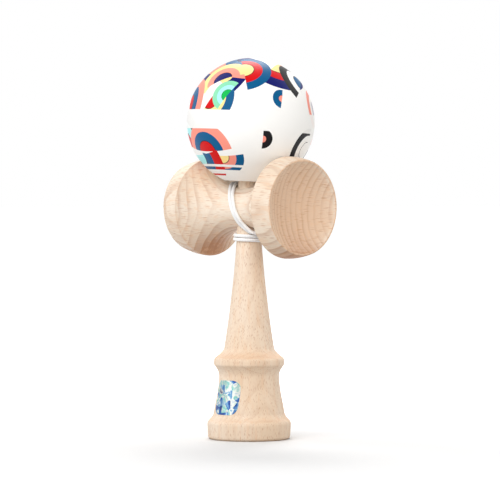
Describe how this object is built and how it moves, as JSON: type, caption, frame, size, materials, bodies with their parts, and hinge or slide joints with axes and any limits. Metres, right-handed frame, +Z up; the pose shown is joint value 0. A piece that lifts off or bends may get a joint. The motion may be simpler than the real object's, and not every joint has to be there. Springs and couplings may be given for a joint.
{
  "type": "kendama",
  "caption": "Wooden skill toy: turned handle with a spike and base cup, cross piece with a cup at each end, and a drilled ball on the spike, joined by a wound string.",
  "frame": {"origin": "middle of the foot's lower face, on the handle's axis", "axes": "+Z up the handle to the spike, +X along the cross piece towards the big cup"},
  "size_m": [0.0732, 0.06, 0.1789],
  "materials": {
    "beech": "plain sanded beech with fine dark flecks",
    "painted_ball": "gloss paint in several colours over wood",
    "string": "white braided string",
    "bead": "plain turned bead",
    "foil": "iridescent foil label"
  },
  "bodies": {
    "handle": {"ken": "beech", "cross_piece": "beech", "foil_label": "foil", "anchor_knot": "string", "string_winding": "string"},
    "string_end": {"string_riser": "string", "string_bead": "bead", "ball_knot": "string"},
    "ball": {"ball": "painted_ball"}
  },
  "joints": [
    {"name": "ball_lift", "type": "slide", "parent": "handle", "child": "string_end", "axis": [0, 0, 1], "range_m": [0, 0.05], "deforming": ["string_riser"]},
    {"name": "ball_spin", "type": "hinge", "parent": "string_end", "child": "ball", "pos_m": [0.00056, 0.00058, 0.14895], "axis": [0.0327, 0.0339, 0.9989], "continuous": true}
  ]
}
